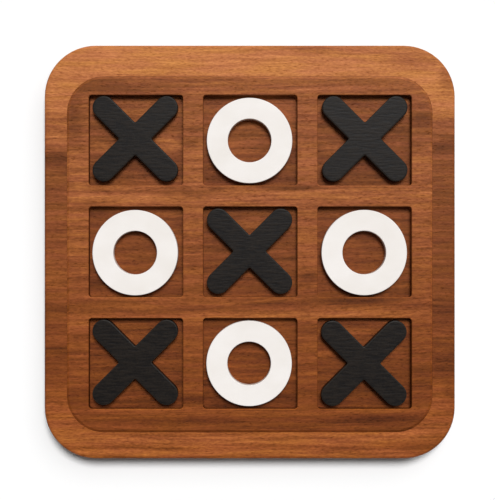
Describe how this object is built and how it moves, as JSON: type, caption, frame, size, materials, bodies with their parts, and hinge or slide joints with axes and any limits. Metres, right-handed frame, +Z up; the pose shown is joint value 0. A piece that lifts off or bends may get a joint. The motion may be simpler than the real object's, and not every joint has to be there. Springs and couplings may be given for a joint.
{
  "type": "tic-tac-toe game",
  "caption": "Square wooden tic-tac-toe board with rounded corners, an inlaid grid of pockets, and loose cross and ring pieces lying in them, on rubber feet.",
  "frame": {"origin": "on the surface that the feet stand on, under the middle of the board", "axes": "+Z up, +X to the right-hand side and +Y to the back of the board"},
  "size_m": [0.2408, 0.2424, 0.0195],
  "materials": {
    "board_wood": "oiled, satin",
    "panel_wood": "oiled, satin",
    "cross_stain": "matte charcoal stain",
    "ring_paint": "smooth warm-white paint",
    "foot_rubber": "matte"
  },
  "bodies": {
    "board": {"base_board": "board_wood", "grid_panel": "panel_wood", "foot_front_left": "foot_rubber", "foot_front_right": "foot_rubber", "foot_back_left": "foot_rubber", "foot_back_right": "foot_rubber"},
    "x_back_left": {"x_back_left": "cross_stain"},
    "x_back_right": {"x_back_right": "cross_stain"},
    "x_center": {"x_center": "cross_stain"},
    "x_front_left": {"x_front_left": "cross_stain"},
    "x_front_right": {"x_front_right": "cross_stain"},
    "o_back": {"o_back": "ring_paint"},
    "o_left": {"o_left": "ring_paint"},
    "o_right": {"o_right": "ring_paint"},
    "o_front": {"o_front": "ring_paint"}
  },
  "joints": [
    {"name": "x_back_left_lift", "type": "slide", "parent": "board", "child": "x_back_left", "axis": [0, 0, 1], "range_m": [0, 0.03]},
    {"name": "x_back_right_lift", "type": "slide", "parent": "board", "child": "x_back_right", "axis": [0, 0, 1], "range_m": [0, 0.03]},
    {"name": "x_center_lift", "type": "slide", "parent": "board", "child": "x_center", "axis": [0, 0, 1], "range_m": [0, 0.03]},
    {"name": "x_front_left_lift", "type": "slide", "parent": "board", "child": "x_front_left", "axis": [0, 0, 1], "range_m": [0, 0.03]},
    {"name": "x_front_right_lift", "type": "slide", "parent": "board", "child": "x_front_right", "axis": [0, 0, 1], "range_m": [0, 0.03]},
    {"name": "o_back_lift", "type": "slide", "parent": "board", "child": "o_back", "axis": [0, 0, 1], "range_m": [0, 0.03]},
    {"name": "o_left_lift", "type": "slide", "parent": "board", "child": "o_left", "axis": [0, 0, 1], "range_m": [0, 0.03]},
    {"name": "o_right_lift", "type": "slide", "parent": "board", "child": "o_right", "axis": [0, 0, 1], "range_m": [0, 0.03]},
    {"name": "o_front_lift", "type": "slide", "parent": "board", "child": "o_front", "axis": [0, 0, 1], "range_m": [0, 0.03]}
  ]
}
